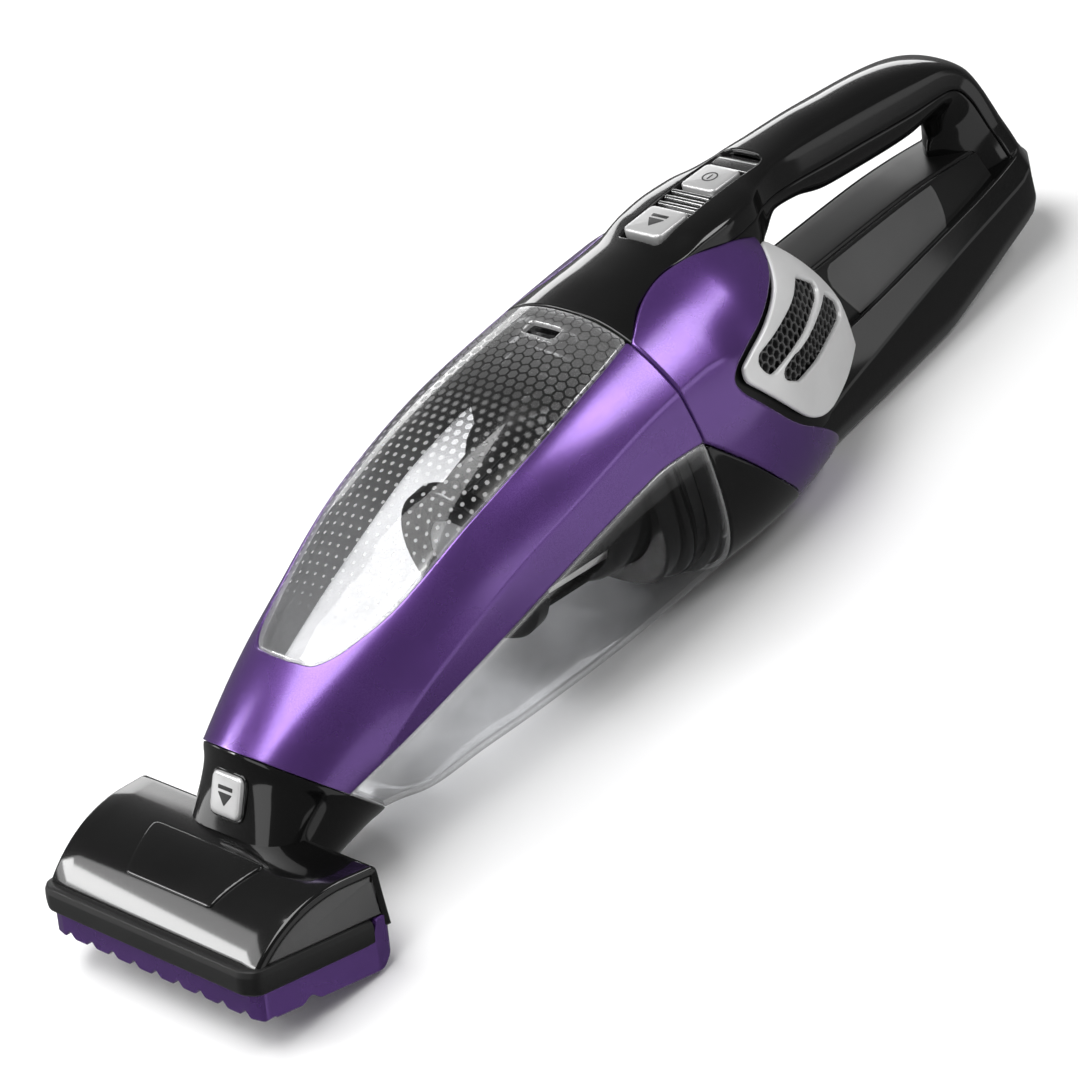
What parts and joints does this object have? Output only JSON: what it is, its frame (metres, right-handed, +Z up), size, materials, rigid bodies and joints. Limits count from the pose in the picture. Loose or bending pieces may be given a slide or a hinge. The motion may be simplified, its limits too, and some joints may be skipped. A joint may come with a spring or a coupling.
{
  "type": "handheld vacuum cleaner",
  "caption": "Cordless hand-held vacuum cleaner with a see-through dust bin, a loop handle and a motorised brush head for carpet and upholstery.",
  "frame": {"origin": "middle of the machine's overall length and width, on the table it lies on", "axes": "+X towards the hand grip and the charging socket, -X towards the brush head, +Y to the machine's left, +Z up from the table"},
  "size_m": [0.4747, 0.1172, 0.1132],
  "materials": {
    "purple_plastic": "pearl metallic lacquer",
    "black_gloss": "polished",
    "black_satin": "satin",
    "grey_satin": "satin",
    "silver_plastic": "silver lacquer",
    "chrome_trim": "bright",
    "clear_plastic": "clear polycarbonate",
    "rubber_black": "soft matt",
    "filter_cloth": "non-woven felt",
    "pale_plastic": "satin",
    "steel": "brushed",
    "cell_wrap": "shrink film",
    "board": "solder mask",
    "bristle": "nylon tufts"
  },
  "bodies": {
    "motor_unit": {"shoulder_shell": "purple_plastic", "lower_housing": "black_gloss", "top_cover": "black_gloss", "handle_frame": "black_satin", "base_shell": "black_gloss", "hump_shell": "grey_satin", "vent_grille_left": "silver_plastic", "vent_grille_right": "silver_plastic", "vent_mesh_left": "black_satin", "vent_mesh_right": "black_satin", "button_track": "chrome_trim", "filter_seat": "black_satin", "motor_can": "steel", "motor_plate": "black_satin", "cell_left": "cell_wrap", "cell_right": "cell_wrap", "cell_top": "cell_wrap", "switch_board": "board", "charging_socket": "black_satin"},
    "fan": {"fan_impeller": "grey_satin"},
    "power_key": {"power_button": "silver_plastic"},
    "bin_key": {"bin_release_button": "silver_plastic"},
    "dust_bin": {"bin_window": "clear_plastic", "bin_frame": "purple_plastic", "tank_shell": "clear_plastic", "nozzle_spigot": "black_satin", "inlet_duct": "clear_plastic"},
    "flap": {"inlet_flap": "rubber_black"},
    "filter": {"filter_cage": "black_satin", "filter_fabric": "filter_cloth", "filter_disc": "pale_plastic"},
    "brush_head": {"neck_collar": "grey_satin", "brush_cover": "black_gloss", "end_cap_left": "grey_satin", "end_cap_right": "grey_satin", "bumper": "rubber_black", "brush_sole": "purple_plastic", "brush_motor": "steel", "drive_belt": "rubber_black", "bearing_left": "grey_satin", "bearing_right": "grey_satin"},
    "head_key": {"neck_release_button": "silver_plastic"},
    "brush_roll": {"brush_core": "grey_satin", "bristle_rows": "bristle"},
    "drive_pulley": {"motor_pulley": "grey_satin"}
  },
  "joints": [
    {"name": "fan_spin", "type": "hinge", "parent": "motor_unit", "child": "fan", "pos_m": [0.026, 0, 0.054], "axis": [1, 0, 0], "continuous": true},
    {"name": "power_press", "type": "slide", "parent": "motor_unit", "child": "power_key", "axis": [0, 0, -1], "range_m": [0, 0.0015], "stiffness_N_per_m": 600, "springref_m": -0.0015},
    {"name": "bin_release_press", "type": "slide", "parent": "motor_unit", "child": "bin_key", "axis": [0, 0, -1], "range_m": [0, 0.0015], "stiffness_N_per_m": 600, "springref_m": -0.0015},
    {"name": "bin_slide", "type": "slide", "parent": "motor_unit", "child": "dust_bin", "axis": [-1, 0, 0], "range_m": [0, 0.09]},
    {"name": "filter_pull", "type": "slide", "parent": "motor_unit", "child": "filter", "axis": [-1, 0, 0], "range_m": [0, 0.012]},
    {"name": "flap_swing", "type": "hinge", "parent": "dust_bin", "child": "flap", "pos_m": [-0.115, 0, 0.0515], "axis": [0, -1, 0], "range_deg": [0, 70]},
    {"name": "head_slide", "type": "slide", "parent": "dust_bin", "child": "brush_head", "axis": [-0.8039, 0, -0.5948], "range_m": [0, 0.024]},
    {"name": "head_release_press", "type": "slide", "parent": "brush_head", "child": "head_key", "axis": [0.8434, 0, -0.5373], "range_m": [0, 0.0015], "stiffness_N_per_m": 600, "springref_m": -0.0015},
    {"name": "brush_spin", "type": "hinge", "parent": "brush_head", "child": "brush_roll", "pos_m": [-0.21601, 0, 0.02082], "axis": [0, 1, 0], "continuous": true},
    {"name": "pulley_spin", "type": "hinge", "parent": "brush_head", "child": "drive_pulley", "pos_m": [-0.19309, 0, 0.02051], "axis": [0, 1, 0], "continuous": true}
  ],
  "couplings": [
    {"joint": "pulley_spin", "follows": "brush_spin", "ratio": 1.9444}
  ]
}
